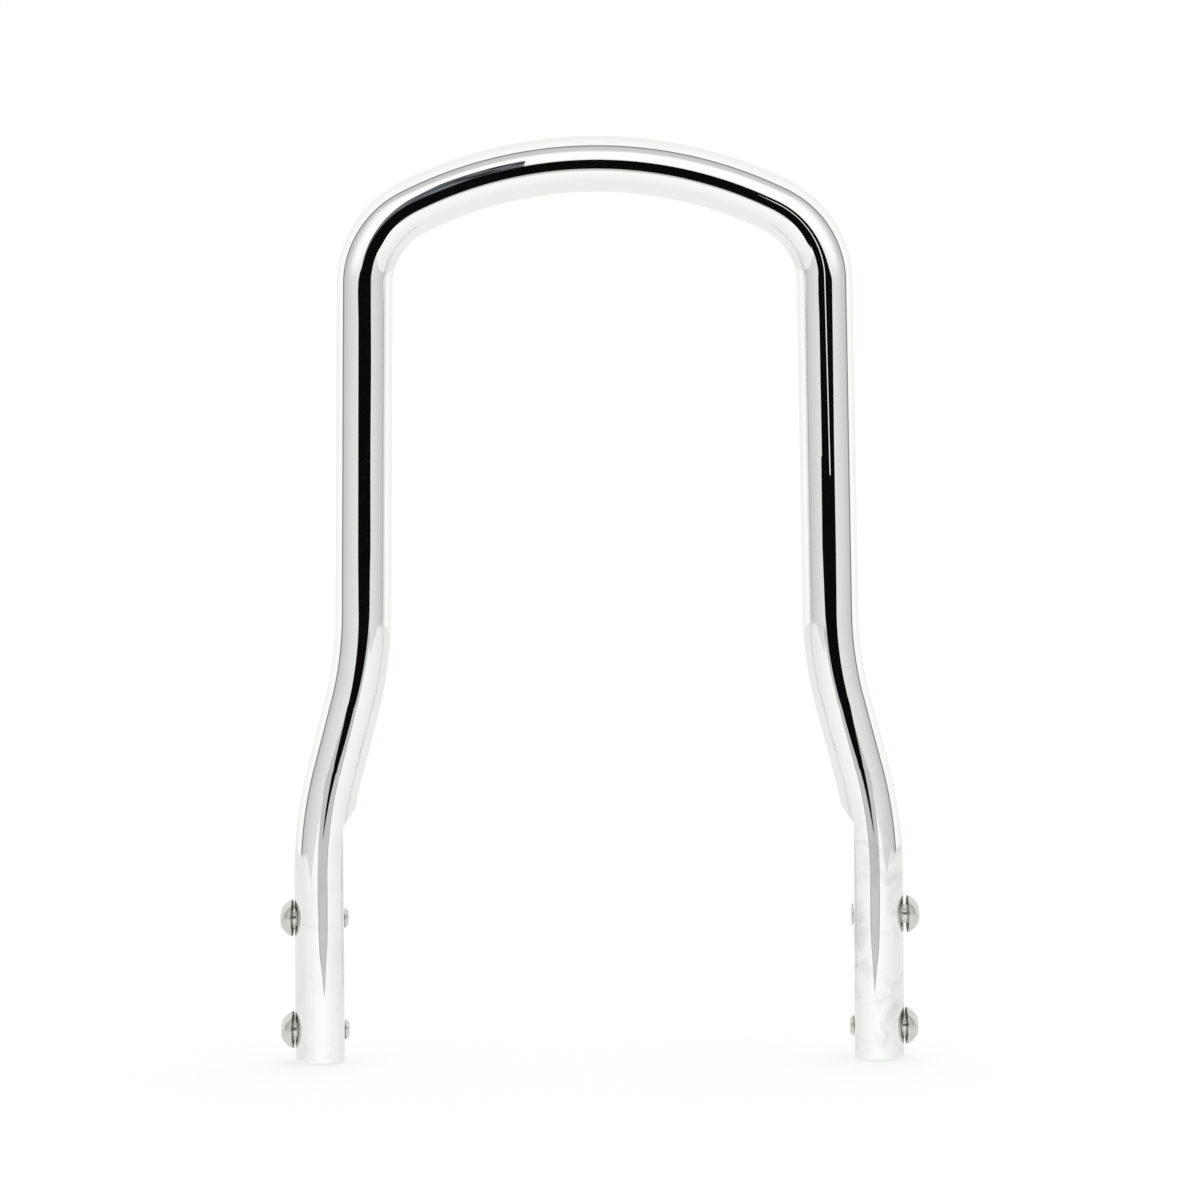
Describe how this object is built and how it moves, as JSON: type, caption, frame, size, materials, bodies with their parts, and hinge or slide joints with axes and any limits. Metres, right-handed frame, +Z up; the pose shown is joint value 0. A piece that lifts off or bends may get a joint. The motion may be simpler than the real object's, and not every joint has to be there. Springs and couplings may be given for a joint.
{
  "type": "sissy bar",
  "caption": "Backrest hoop for a motorbike: round chromed bar bent into a domed arch, splayed lower legs, feet flattened inside, with button-head screws in tapped holes.",
  "frame": {"origin": "on the ground under the hoop's plane, midway between the two feet", "axes": "+X across the hoop, to the right in the picture; +Y to the back, square to the hoop's plane; +Z up"},
  "size_m": [0.2896, 0.0254, 0.4201],
  "materials": {
    "chrome": "polished chrome plating",
    "screws": "bright plating, a little duller than the bar"
  },
  "bodies": {
    "root": {"hoop": "chrome", "screw_upper_left": "screws", "screw_lower_left": "screws", "screw_upper_right": "screws", "screw_lower_right": "screws"}
  },
  "joints": []
}
